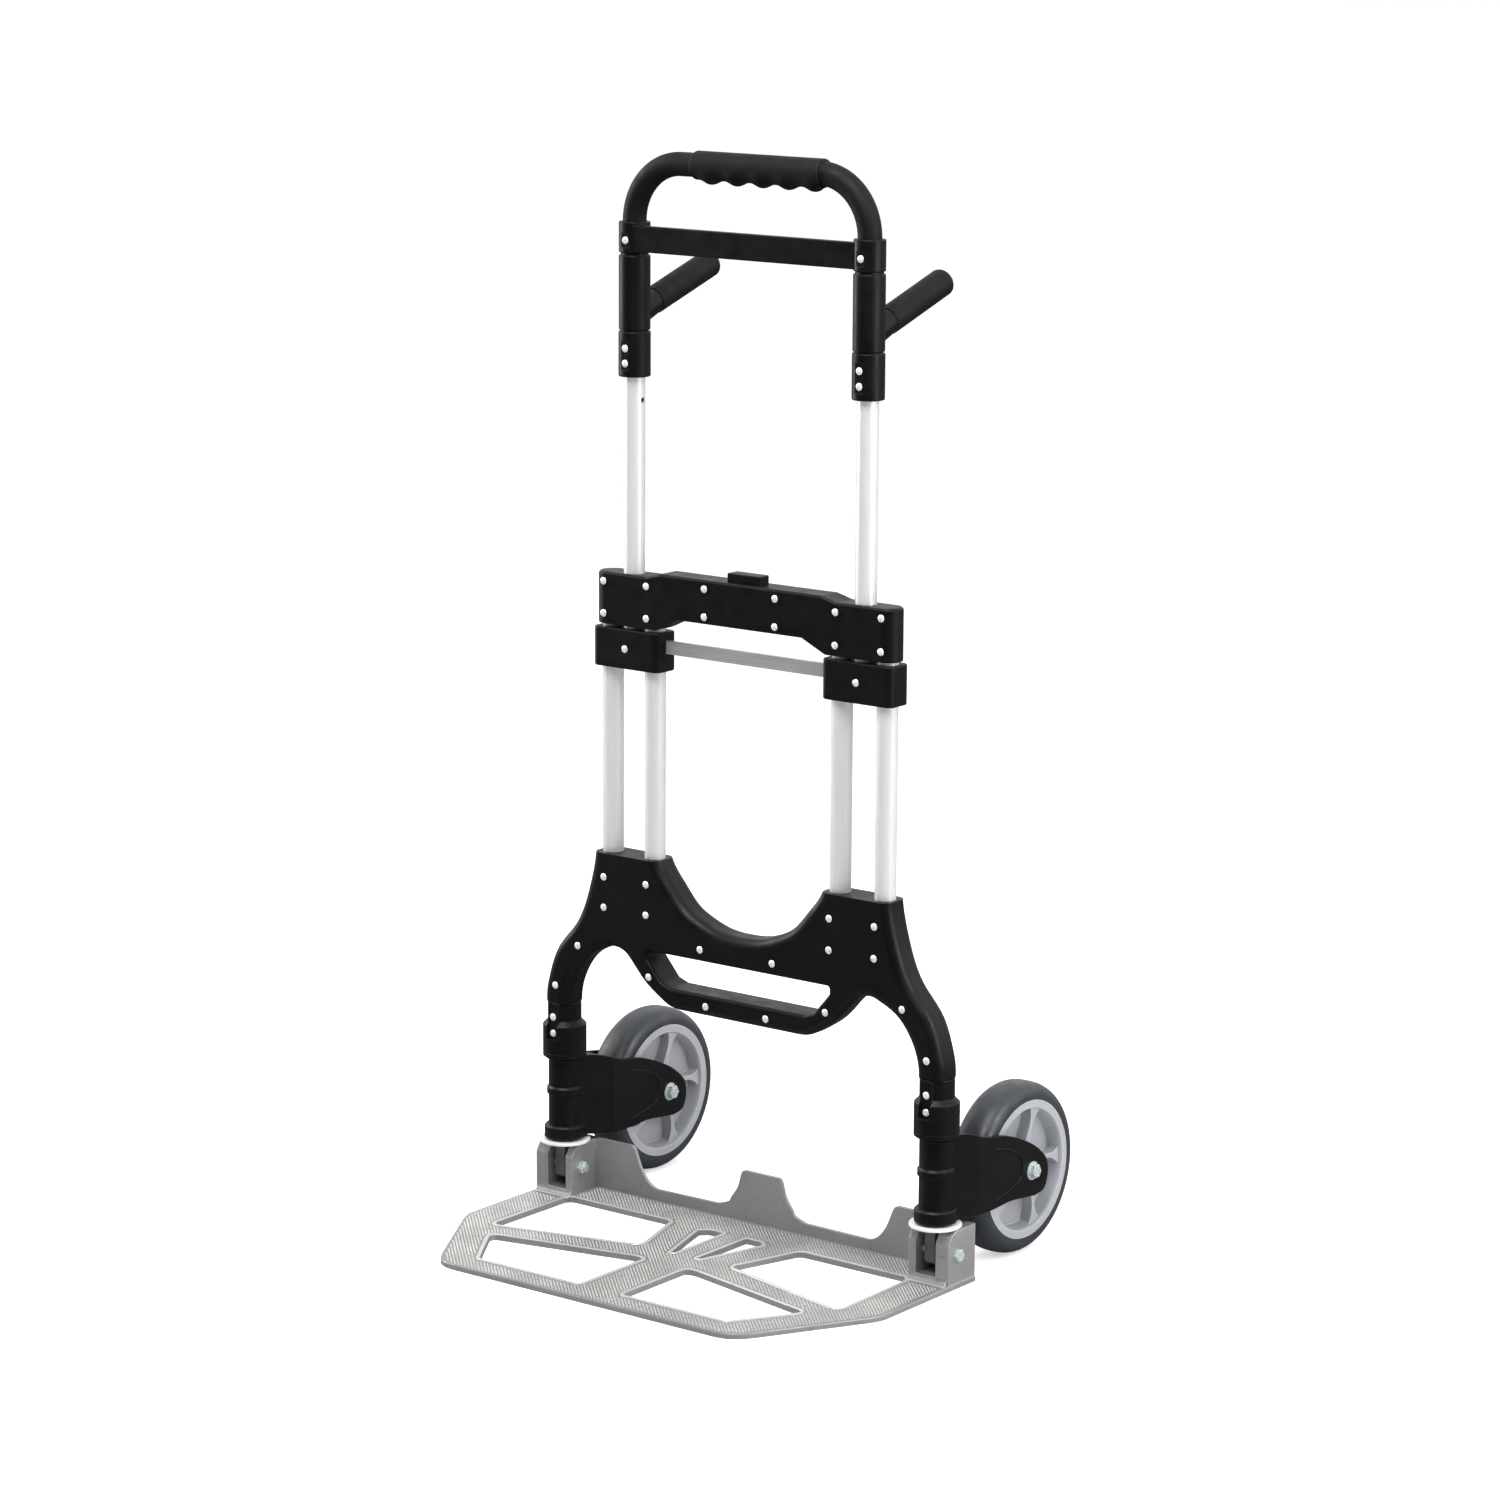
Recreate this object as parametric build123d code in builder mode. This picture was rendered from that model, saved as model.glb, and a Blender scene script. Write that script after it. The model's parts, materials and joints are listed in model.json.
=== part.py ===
from build123d import *
import os
from math import cos, radians, sin

os.makedirs("parts", exist_ok=True)

# Folding luggage cart, millimetres, +Z up.
# Origin: on the floor, on the symmetry plane, below the plane of the tubes.
# +X is the user's right when seen from the front, -Y is the front (load side).

SIDES = {"right": 1, "left": -1}
FIT = 0.05  # radial running clearance of everything that slides or turns

# ---------------------------------------------------------------- tube ladder
TUBE_R = 12.5
TUBE_WALL = 1.5
OUTER_X = 198.0
UPPER_X = 166.5
INNER_X = 135.0
TUBE_FOOT_Z = 342.0
OUTER_TOP_Z = 771.0
INNER_TOP_Z = 746.0
UPPER_FOOT_Z = 668.0
BOW_TOP_Z = 1253.0
BOW_BEND_R = 68.0
LOCK_Z = 757.0
HANDLE_TRAVEL = 222.0
LOCK_HOLE_R = 3.2

# ---------------------------------------------------------------- rivets
RIVET_R = 2.0
HEAD_R = 4.4
HEAD_H = 2.0
PANEL_RIVETS = [(197, 411), (197, 374), (133.5, 411), (133.5, 374), (52.7, 345),
                (237, 321), (271.7, 266.8), (129.2, 299.6), (44, 277.7)]
CROSSBAR_RIVETS = [(199.5, 765), (199.5, 727), (136, 765), (136, 727), (50.8, 771), (50.8, 738.4)]
SLEEVE_RIVETS = [(UPPER_X, 1039.4), (UPPER_X, 1022)]
BRIDGE_RIVETS = [(UPPER_X, 1163.5)]
SLIDER_RIVETS = [(UPPER_X, 688)]
POST_RIVETS_Z = [227.4, 207.4]

# ---------------------------------------------------------------- lower panel
PANEL_HALF = 20.0
PANEL_ROUND = 12.0
TOWER_TOP_Z = 440.0
LEG_FOOT_Z = 245.0
LEG_X = 273.5

# ---------------------------------------------------------------- crossbar and sliders
BAR_HALF = 17.0
BAR_FOOT_Z = 714.5
BAR_END_TOP_Z = 776.0
BAR_MID_FOOT_Z = 730.5
BAR_MID_TOP_Z = 781.5
SLIDER_HALF = 18.5
SLIDER_FOOT_Z = 664.0
SLIDER_TOP_Z = 711.0
SLIDER_IN_X = 117.0
SLIDER_OUT_X = 215.5
LINK_BOTTOM_Z = 685.5
LINK_TOP_Z = 701.5
BUTTON_HALF_X = 23.5
BUTTON_HALF_Y = 9.5
BUTTON_TOP_Z = 792.0

# ---------------------------------------------------------------- handle
COLLAR_R = 18.3
COLLAR_FOOT_Z = 1149.0
COLLAR_TOP_Z = 1184.5
SWIVEL_FOOT_Z = 1060.0
SWIVEL_TOP_Z = 1146.0
SLEEVE_R = 18.7
SLEEVE_FOOT_Z = 1006.0
SLEEVE_TOP_Z = 1058.5
NECK_R = 16.2  # narrow neck that closes the seam between two covers
NECK_GAP = 0.3
FOAM_R = 13.8
GRIP_R = 16.5
GRIP_FROM_X = -76.0
GRIP_TO_X = 104.0
REAR_RISE = 18.5  # degrees above level
REAR_ROOT_Z = 1079.0
REAR_LENGTH = 152.0
REAR_GRIP_R = 16.0

# ---------------------------------------------------------------- corner posts
POST_R = 11.0
POST_TOP_Z = 270.0
COLLAR_UP_R = 20.3
COLLAR_BIG_R = 26.3
BARREL_R = 19.6
RING_R = 24.7
WASHER_R = 30.5
BOSS_HALF = 22.0
SEAM_Z = 182.0
BUSH_R = 13.0
PIVOT_Z = 40.0
BOLT_R = 4.0

# ---------------------------------------------------------------- toe plate
PLATE_T = 6.5
LIP_W = 4.5  # raised smooth rim around each opening
LIP_H = 0.9
PLATE_X = 305.0
PLATE_FRONT_Y = -304.0
FLANGE_Y = 36.5
FLANGE_T = 4.0
BLOCK_IN_X = 249.0
BLOCK_OUT_X = 304.5
BLOCK_FRONT_Y = -17.0
BLOCK_TOP_Z = 69.0
SLOT_IN_X = 258.5
SLOT_OUT_X = 286.5
FOOT_R = 10.0
FOOT_OUT_X = 302.0

# ---------------------------------------------------------------- wheels
WHEEL_X = 268.3
WHEEL_Y = 158.5
WHEEL_R = 101.5
TYRE_HALF = 24.0
RIM_R = 82.0
RIM_IN_R = 73.0
HUB_R = 19.0
AXLE_R = 5.0
FORK_HALF = 31.0
FORK_T = 5.0
SPOKES = 5


def both_sides(points):
    """The same (x, z) places on the right and mirrored on the left."""
    return [(x * s, z) for s in (1, -1) for x, z in points]


def drill_along_y(points, radius):
    """Through holes along Y at (x, z) places, cut from the part being built."""
    with BuildSketch(Plane.XZ) as holes:
        with Locations(*points):
            Circle(radius)
    extrude(holes.sketch, amount=60, both=True, mode=Mode.SUBTRACT)


def bore_down(points, radius, bottom, top):
    """Vertical bores at (x, y) places between two heights."""
    with BuildSketch(Plane.XY.offset(bottom)) as bores:
        with Locations(*points):
            Circle(radius)
    extrude(bores.sketch, amount=top - bottom, mode=Mode.SUBTRACT)


def flat_seats(x, z_low, z_high, half, width=14):
    """Flats for rivet heads, cut in front of and behind a round part at y = -half and +half."""
    for y in (1, -1):
        with BuildSketch(Plane.XZ.offset(y * half)) as seat:
            with Locations((x, (z_low + z_high) / 2)):
                Rectangle(width, z_high - z_low)
        extrude(seat.sketch, amount=y * 10, mode=Mode.SUBTRACT)


def rivet(x, z, half):
    """Domed head in front, shank through, smaller closed head behind."""
    with BuildSketch(Plane.YZ.offset(x)) as half_section:
        with BuildLine():
            Line((-half - HEAD_H, z), (-half - HEAD_H, z + HEAD_R * 0.4))
            RadiusArc((-half - HEAD_H, z + HEAD_R * 0.4), (-half, z + HEAD_R), HEAD_R)
            Line((-half, z + HEAD_R), (-half, z + RIVET_R))
            Line((-half, z + RIVET_R), (half, z + RIVET_R))
            Line((half, z + RIVET_R), (half, z + HEAD_R * 0.8))
            Line((half, z + HEAD_R * 0.8), (half + HEAD_H * 0.7, z + HEAD_R * 0.5))
            Line((half + HEAD_H * 0.7, z + HEAD_R * 0.5), (half + HEAD_H * 0.7, z))
            Line((half + HEAD_H * 0.7, z), (-half - HEAD_H, z))
        make_face()
    revolve(half_section.sketch, axis=Axis((x, 0, z), (0, 1, 0)))


def save(part, name):
    part.label = name
    export_step(part, f"parts/{name}.step")


# ================================================================ lower panel
def panel_outline():
    """Front outline of the panel: towers, bent legs, load window and grab bar."""
    with BuildLine() as outline:
        for s in (1, -1):
            # tower top, outer side of the leg, leg foot
            Line((s * 118.5, TOWER_TOP_Z), (s * 214.5, TOWER_TOP_Z))
            Spline((s * 214.5, TOWER_TOP_Z), (s * 222.5, 401), (s * 246.5, 345), (s * 271.5, 315),
                   (s * 288.3, 270), (s * 291, LEG_FOOT_Z), tangents=((s * 0.1, -1), (0, -1)))
            Line((s * 291, LEG_FOOT_Z), (s * 256, LEG_FOOT_Z))
            # arch between the leg and the strut of the grab bar
            Spline((s * 256, LEG_FOOT_Z), (s * 252.5, 268), (s * 239.5, 294), (s * 221, 312.5),
                   (s * 198, 323.5), (s * 180, 325.5), tangents=((0, 1), (-s, -0.15)))
            Spline((s * 180, 325.5), (s * 161, 314), (s * 139.5, 291), (s * 113, 272.5), (s * 85, 264.5),
                   tangents=((-s, -0.15), (-s, 0)))
            Line((s * 85, 264.5), (0, 264.5))
            # half of the load window between the towers
            Spline((s * 118.5, TOWER_TOP_Z), (s * 98, 412), (s * 76, 388.5), (s * 54, 377), (0, 366.5),
                   tangents=((-s * 0.45, -1), (-s, 0)))
    make_face(outline.edges())


with BuildPart() as panel_body:
    with BuildSketch(Plane.XZ.offset(-PANEL_HALF)):
        panel_outline()
    extrude(amount=2 * PANEL_HALF)
    long_edges = panel_body.faces().filter_by(Axis.Y).edges().filter_by(
        lambda e: LEG_FOOT_Z + 1 < e.center().Z < TOWER_TOP_Z - 1)
    fillet(long_edges, PANEL_ROUND)
    with BuildSketch(Plane.XZ.offset(-PANEL_HALF)):
        with BuildLine():
            FilletPolyline((-134, 331), (134, 331), (134, 322), (112, 296), (98, 291), (-98, 291),
                           (-112, 296), (-134, 322), radius=4, close=True)
        make_face()
    extrude(amount=2 * PANEL_HALF, mode=Mode.SUBTRACT)
    hole_edges = panel_body.faces().filter_by(Axis.Y).edges().filter_by(
        lambda e: 285 < e.center().Z < 333 and abs(e.center().X) < 135)
    fillet(hole_edges, 4)
    bore_down([(s * x, 0) for s in (1, -1) for x in (OUTER_X, INNER_X)], TUBE_R, TUBE_FOOT_Z, TOWER_TOP_Z + 1)
    bore_down([(s * LEG_X, 0) for s in (1, -1)], POST_R, LEG_FOOT_Z - 1, POST_TOP_Z)
    drill_along_y(both_sides(PANEL_RIVETS), RIVET_R)

with BuildPart() as panel_front:
    add(panel_body.part)
    split(bisect_by=Plane.XZ, keep=Keep.TOP)
with BuildPart() as panel_rear:
    add(panel_body.part)
    split(bisect_by=Plane.XZ, keep=Keep.BOTTOM)
save(panel_front.part, "panel_front")
save(panel_rear.part, "panel_rear")

with BuildPart() as panel_rivets:
    for rx, rz in both_sides(PANEL_RIVETS):
        rivet(rx, rz, PANEL_HALF)
save(panel_rivets.part, "panel_rivets")

# ================================================================ fixed tubes
for name, s in SIDES.items():
    for kind, tx, top in (("outer", OUTER_X, OUTER_TOP_Z), ("inner", INNER_X, INNER_TOP_Z)):
        with BuildPart() as tube:
            with BuildSketch(Plane.XY.offset(TUBE_FOOT_Z)):
                with Locations((s * tx, 0)):
                    Circle(TUBE_R)
                    Circle(TUBE_R - TUBE_WALL, mode=Mode.SUBTRACT)
            extrude(amount=top - TUBE_FOOT_Z)
            drill_along_y(both_sides(PANEL_RIVETS[:4]), RIVET_R)
            drill_along_y(both_sides(CROSSBAR_RIVETS[:4]), RIVET_R)
        save(tube.part, f"{kind}_tube_{name}")

# ================================================================ crossbar
with BuildPart() as crossbar_body:
    with BuildSketch(Plane.XY.offset(BAR_FOOT_Z)):
        SlotCenterToCenter(2 * OUTER_X, 2 * BAR_HALF)
    extrude(amount=BAR_MID_TOP_Z - BAR_FOOT_Z)
    with BuildSketch(Plane.XZ.offset(-BAR_HALF)):
        with BuildLine():
            Polyline((0, BAR_MID_TOP_Z), (116, BAR_MID_TOP_Z), (137, BAR_END_TOP_Z), (220, BAR_END_TOP_Z),
                     (220, BAR_FOOT_Z), (123, BAR_FOOT_Z), (89, BAR_MID_FOOT_Z), (0, BAR_MID_FOOT_Z),
                     close=True)
        make_face()
        mirror(about=Plane.YZ)
    extrude(amount=2 * BAR_HALF, mode=Mode.INTERSECT)
    chamfer(crossbar_body.faces().filter_by(
        lambda f: f.normal_at().Z > 0.9 and f.center().Z > BAR_END_TOP_Z - 1).edges().filter_by(
        lambda e: abs(e.center().Y) > BAR_HALF - 1 or abs(e.center().X) > OUTER_X), 2.2)
    fillet(crossbar_body.faces().sort_by(Axis.Z)[0:2].edges().filter_by(
        lambda e: abs(e.center().Y) > BAR_HALF - 1 or abs(e.center().X) > OUTER_X), 1.5)
    bore_down([(s * OUTER_X, 0) for s in (1, -1)], TUBE_R, BAR_FOOT_Z - 1, OUTER_TOP_Z)
    bore_down([(s * INNER_X, 0) for s in (1, -1)], TUBE_R, BAR_FOOT_Z - 1, INNER_TOP_Z)
    bore_down([(s * UPPER_X, 0) for s in (1, -1)], TUBE_R + FIT, BAR_FOOT_Z - 1, BAR_MID_TOP_Z + 1)
    # channel for the two lock pins, from the button well to the upper tubes
    with BuildSketch(Plane.XY.offset(LOCK_Z - 4)):
        Rectangle(2 * UPPER_X, 10.6)
    extrude(amount=8, mode=Mode.SUBTRACT)
    # button well, with a spring pocket below it
    with BuildSketch(Plane.XY.offset(LOCK_Z - 18)):
        Rectangle(2 * BUTTON_HALF_X + 1, 2 * BUTTON_HALF_Y + 1)
    extrude(amount=60, mode=Mode.SUBTRACT)
    drill_along_y(both_sides(CROSSBAR_RIVETS), RIVET_R)

with BuildPart() as crossbar_front:
    add(crossbar_body.part)
    split(bisect_by=Plane.XZ, keep=Keep.TOP)
with BuildPart() as crossbar_rear:
    add(crossbar_body.part)
    split(bisect_by=Plane.XZ, keep=Keep.BOTTOM)
save(crossbar_front.part, "crossbar_front")
save(crossbar_rear.part, "crossbar_rear")

with BuildPart() as crossbar_rivets:
    for rx, rz in both_sides(CROSSBAR_RIVETS):
        rivet(rx, rz, BAR_HALF)
save(crossbar_rivets.part, "crossbar_rivets")

# ================================================================ release button and lock pins
PIN_DOWEL_X = 17.0
PIN_INNER_X = 12.5
PIN_TIP_X = UPPER_X - TUBE_R - 0.3

with BuildPart() as release_button:
    with BuildSketch(Plane.XY.offset(LOCK_Z + 9)):
        RectangleRounded(2 * BUTTON_HALF_X, 2 * BUTTON_HALF_Y, 2)
    extrude(amount=BUTTON_TOP_Z - LOCK_Z - 9)
    fillet(release_button.faces().sort_by(Axis.Z)[-1].edges(), 1.5)
    # cam web with two 45 degree slots: pressing it draws both lock pins inward
    with BuildSketch(Plane.XY.offset(LOCK_Z - 8)):
        Rectangle(2 * BUTTON_HALF_X, 4)
    extrude(amount=17, mode=Mode.ADD)
    with BuildSketch(Plane.XZ):
        for s in (1, -1):
            with Locations((s * (PIN_DOWEL_X - 2.5), LOCK_Z + 2.5)):
                SlotOverall(13.5, 4.2, rotation=-s * 45)
    extrude(amount=10, both=True, mode=Mode.SUBTRACT)
save(release_button.part, "release_button")

for name, s in SIDES.items():
    with BuildPart() as lock_pin:
        with BuildSketch(Plane.XY.offset(LOCK_Z - 3.5)):
            with Locations((s * (PIN_INNER_X + PIN_TIP_X - 14) / 2, 0)):
                Rectangle(PIN_TIP_X - 14 - PIN_INNER_X, 10)
        extrude(amount=7)
        with BuildSketch(Plane.YZ.offset(s * (PIN_TIP_X - 14))):
            with Locations((0, LOCK_Z)):
                Circle(LOCK_HOLE_R - 0.2)
        extrude(amount=s * 14)
        # fork at the inner end, with a dowel that follows the cam slot
        with BuildSketch(Plane.XY.offset(LOCK_Z - 4)):
            with Locations((s * 20, 0)):
                Rectangle(22, 4.6)
        extrude(amount=8, mode=Mode.SUBTRACT)
        with BuildSketch(Plane.XZ):
            with Locations((s * PIN_DOWEL_X, LOCK_Z)):
                Circle(2)
        extrude(amount=4.5, both=True)
    save(lock_pin.part, f"lock_pin_{name}")

with BuildPart() as button_spring:
    with BuildLine():
        Helix(pitch=1.9, height=7.6, radius=4.0, center=(0, 0, LOCK_Z - 17.1))
    with BuildSketch(Plane((4.0, 0, LOCK_Z - 17.1), z_dir=(0, 1, 0))):
        Circle(0.5)
    sweep(is_frenet=True)
save(button_spring.part, "button_spring")

# ================================================================ handle tube and its covers
def bow_path(foot):
    """Centre line of the handle bow, from a height on one leg to the same on the other."""
    with BuildLine() as path:
        for s in (1, -1):
            Line((s * UPPER_X, 0, foot), (s * UPPER_X, 0, BOW_TOP_Z - BOW_BEND_R))
        shoulder = UPPER_X - BOW_BEND_R
        ThreePointArc((UPPER_X, 0, BOW_TOP_Z - BOW_BEND_R),
                      (shoulder + BOW_BEND_R * sin(radians(45)), 0,
                       BOW_TOP_Z - BOW_BEND_R + BOW_BEND_R * sin(radians(45))),
                      (shoulder, 0, BOW_TOP_Z))
        Line((shoulder, 0, BOW_TOP_Z), (-shoulder, 0, BOW_TOP_Z))
        ThreePointArc((-shoulder, 0, BOW_TOP_Z),
                      (-shoulder - BOW_BEND_R * sin(radians(45)), 0,
                       BOW_TOP_Z - BOW_BEND_R + BOW_BEND_R * sin(radians(45))),
                      (-UPPER_X, 0, BOW_TOP_Z - BOW_BEND_R))
    return path.line


def bow(outer_r, inner_r, foot):
    """Ring section swept along the bow, in the part being built."""
    with BuildSketch(Plane.XY.offset(foot)) as ring:
        with Locations((UPPER_X, 0)):
            Circle(outer_r)
            Circle(inner_r, mode=Mode.SUBTRACT)
    sweep(ring.sketch, path=bow_path(foot))


with BuildPart() as handle_tube:
    bow(TUBE_R, TUBE_R - TUBE_WALL, UPPER_FOOT_Z)
    drill_along_y(both_sides(SLEEVE_RIVETS + BRIDGE_RIVETS + SLIDER_RIVETS), RIVET_R)
    # lock holes face inward, one for each handle height
    for s in (1, -1):
        with BuildSketch(Plane.YZ.offset(s * (UPPER_X - TUBE_R - 2))):
            with Locations((0, LOCK_Z), (0, LOCK_Z + HANDLE_TRAVEL)):
                Circle(LOCK_HOLE_R)
        extrude(amount=s * 6, mode=Mode.SUBTRACT)
save(handle_tube.part, "handle_tube")

with BuildPart() as bow_cover:
    bow(FOAM_R, TUBE_R, COLLAR_TOP_Z)
save(bow_cover.part, "bow_cover")

BUMP_PITCH = 36.3
BUMP_R = 15.3
BUMP_DROP = 6.0
with BuildPart() as handle_grip:
    grip_mid = (GRIP_FROM_X + GRIP_TO_X) / 2
    with BuildSketch(Plane.YZ.offset(GRIP_FROM_X)):
        with Locations((0, BOW_TOP_Z)):
            Circle(GRIP_R)
    extrude(amount=GRIP_TO_X - GRIP_FROM_X)
    chamfer(handle_grip.edges().filter_by(GeomType.CIRCLE), 1.5)
    # finger bumps: half rounds turned about the grip's length
    for k in range(-2, 3):
        bump_x = grip_mid + 4 + k * BUMP_PITCH
        bump_z = BOW_TOP_Z - BUMP_DROP
        with BuildSketch(Plane.XZ):
            with BuildLine():
                ThreePointArc((bump_x - BUMP_R, bump_z), (bump_x, bump_z - BUMP_R), (bump_x + BUMP_R, bump_z))
                Line((bump_x + BUMP_R, bump_z), (bump_x - BUMP_R, bump_z))
            make_face()
        revolve(axis=Axis((bump_x, 0, bump_z), (1, 0, 0)))
    with BuildSketch(Plane.YZ.offset(GRIP_FROM_X - 1)):
        with Locations((0, BOW_TOP_Z)):
            Circle(FOAM_R)
    extrude(amount=GRIP_TO_X - GRIP_FROM_X + 5, mode=Mode.SUBTRACT)
    # wider mouth where the bow starts to bend
    with BuildSketch(Plane.YZ.offset(UPPER_X - BOW_BEND_R - 4)):
        with Locations((0, BOW_TOP_Z)):
            Circle(FOAM_R + 0.5)
    extrude(amount=GRIP_TO_X - UPPER_X + BOW_BEND_R + 9, mode=Mode.SUBTRACT)
save(handle_grip.part, "handle_grip")

with BuildPart() as handle_bridge:
    with BuildSketch(Plane.XY.offset(COLLAR_FOOT_Z)):
        with Locations((UPPER_X, 0), (-UPPER_X, 0)):
            Circle(COLLAR_R)
    extrude(amount=COLLAR_TOP_Z - COLLAR_FOOT_Z)
    fillet(handle_bridge.edges().filter_by(GeomType.CIRCLE), 1.2)
    with BuildSketch(Plane.XY.offset(COLLAR_FOOT_Z + 2)):
        with Locations((0, -11)):
            Rectangle(2 * UPPER_X, 10)
    extrude(amount=30)
    fillet(handle_bridge.edges().filter_by(Axis.X), 1.5)
    for s in (1, -1):
        flat_seats(s * UPPER_X, 1155, 1172, COLLAR_R - 0.9, width=12)
    bore_down([(UPPER_X, 0), (-UPPER_X, 0)], TUBE_R, COLLAR_FOOT_Z - 1, COLLAR_TOP_Z + 1)
    drill_along_y(both_sides(BRIDGE_RIVETS), RIVET_R)
save(handle_bridge.part, "handle_bridge")

with BuildPart() as handle_rivets:
    for rx, rz in both_sides(BRIDGE_RIVETS):
        rivet(rx, rz, COLLAR_R - 0.9)
    for rx, rz in both_sides(SLEEVE_RIVETS):
        rivet(rx, rz, SLEEVE_R - 0.9)
    for rx, rz in both_sides(SLIDER_RIVETS):
        rivet(rx, rz, SLIDER_HALF)
save(handle_rivets.part, "handle_rivets")



def neck(x, bore_r, foot, top):
    """Short narrow ring on top of a cover, in the part being built."""
    with BuildSketch(Plane.XY.offset(foot - 1)) as ring:
        with Locations((x, 0)):
            Circle(NECK_R)
            Circle(bore_r, mode=Mode.SUBTRACT)
    extrude(ring.sketch, amount=top - foot + 1)


for name, s in SIDES.items():
    with BuildPart() as lower_sleeve:
        with BuildSketch(Plane.XY.offset(SLEEVE_FOOT_Z)):
            with Locations((s * UPPER_X, 0)):
                Circle(SLEEVE_R)
                Circle(TUBE_R, mode=Mode.SUBTRACT)
        extrude(amount=SLEEVE_TOP_Z - SLEEVE_FOOT_Z)
        fillet(lower_sleeve.edges().filter_by(lambda e: e.length > 110), 1.5)
        neck(s * UPPER_X, TUBE_R, SLEEVE_TOP_Z, SWIVEL_FOOT_Z - NECK_GAP)
        flat_seats(s * UPPER_X, 1014, 1048, SLEEVE_R - 0.9)
        drill_along_y(both_sides(SLEEVE_RIVETS), RIVET_R)
    save(lower_sleeve.part, f"lower_sleeve_{name}")

# ================================================================ sliders and link bar
for name, s in SIDES.items():
    with BuildPart() as slider:
        with BuildSketch(Plane.XY.offset(SLIDER_FOOT_Z)):
            with Locations((s * (SLIDER_IN_X + SLIDER_OUT_X) / 2, 0)):
                RectangleRounded(SLIDER_OUT_X - SLIDER_IN_X, 2 * SLIDER_HALF, 9)
        extrude(amount=SLIDER_TOP_Z - SLIDER_FOOT_Z)
        fillet(slider.faces().sort_by(Axis.Z)[0].edges() + slider.faces().sort_by(Axis.Z)[-1].edges(), 2)
        bore_down([(s * OUTER_X, 0), (s * INNER_X, 0)], TUBE_R + FIT, SLIDER_FOOT_Z - 1, SLIDER_TOP_Z + 1)
        bore_down([(s * UPPER_X, 0)], TUBE_R, UPPER_FOOT_Z, SLIDER_TOP_Z + 1)
        with BuildSketch(Plane.YZ.offset(s * (SLIDER_IN_X - 1))):
            with Locations((0, (LINK_BOTTOM_Z + LINK_TOP_Z) / 2)):
                Rectangle(6, LINK_TOP_Z - LINK_BOTTOM_Z)
        extrude(amount=s * 5.2, mode=Mode.SUBTRACT)
        drill_along_y([(s * UPPER_X, SLIDER_RIVETS[0][1])], RIVET_R)
    save(slider.part, f"slider_{name}")

with BuildPart() as link_bar:
    with BuildSketch(Plane.YZ.offset(-SLIDER_IN_X - 4.2)):
        with Locations((0, (LINK_BOTTOM_Z + LINK_TOP_Z) / 2)):
            RectangleRounded(6, LINK_TOP_Z - LINK_BOTTOM_Z, 1)
    extrude(amount=2 * (SLIDER_IN_X + 4.2))
save(link_bar.part, "link_bar")

# ================================================================ swivelling rear handles
for name, s in SIDES.items():
    peg_plane = Plane(origin=(s * UPPER_X, 0, REAR_ROOT_Z), x_dir=(1, 0, 0),
                      z_dir=(0, cos(radians(REAR_RISE)), sin(radians(REAR_RISE))))
    with BuildPart() as swivel_sleeve:
        with BuildSketch(Plane.XY.offset(SWIVEL_FOOT_Z)):
            with Locations((s * UPPER_X, 0)):
                Circle(COLLAR_R)
        extrude(amount=SWIVEL_TOP_Z - SWIVEL_FOOT_Z)
        fillet(swivel_sleeve.edges().filter_by(GeomType.CIRCLE), 1.2)
        with BuildSketch(peg_plane):
            Circle(17.3)
        extrude(amount=36, taper=3.5)
        with BuildSketch(peg_plane.offset(36)):
            Circle(11)
        extrude(amount=REAR_LENGTH - 36 - 8)
        bore_down([(s * UPPER_X, 0)], TUBE_R + FIT, SWIVEL_FOOT_Z - 20, SWIVEL_TOP_Z + 1)
        neck(s * UPPER_X, TUBE_R + FIT, SWIVEL_TOP_Z, COLLAR_FOOT_Z - NECK_GAP)
        # trim the root of the peg flush with the sleeve foot
        with BuildSketch(Plane.XY.offset(SWIVEL_FOOT_Z - 30)):
            with Locations((s * UPPER_X, 0)):
                Rectangle(60, 80)
        extrude(amount=30, mode=Mode.SUBTRACT)
    save(swivel_sleeve.part, f"swivel_sleeve_{name}")

    with BuildPart() as rear_grip:
        with BuildSketch(peg_plane.offset(36)):
            Circle(REAR_GRIP_R)
        extrude(amount=REAR_LENGTH - 36)
        fillet(rear_grip.edges().filter_by(GeomType.CIRCLE).sort_by(Axis.Y)[-1], 7)
        fillet(rear_grip.edges().filter_by(GeomType.CIRCLE).sort_by(Axis.Y)[0], 1)
        with BuildSketch(peg_plane.offset(35)):
            Circle(11)
        extrude(amount=REAR_LENGTH - 35 - 8, mode=Mode.SUBTRACT)
    save(rear_grip.part, f"rear_grip_{name}")

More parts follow.
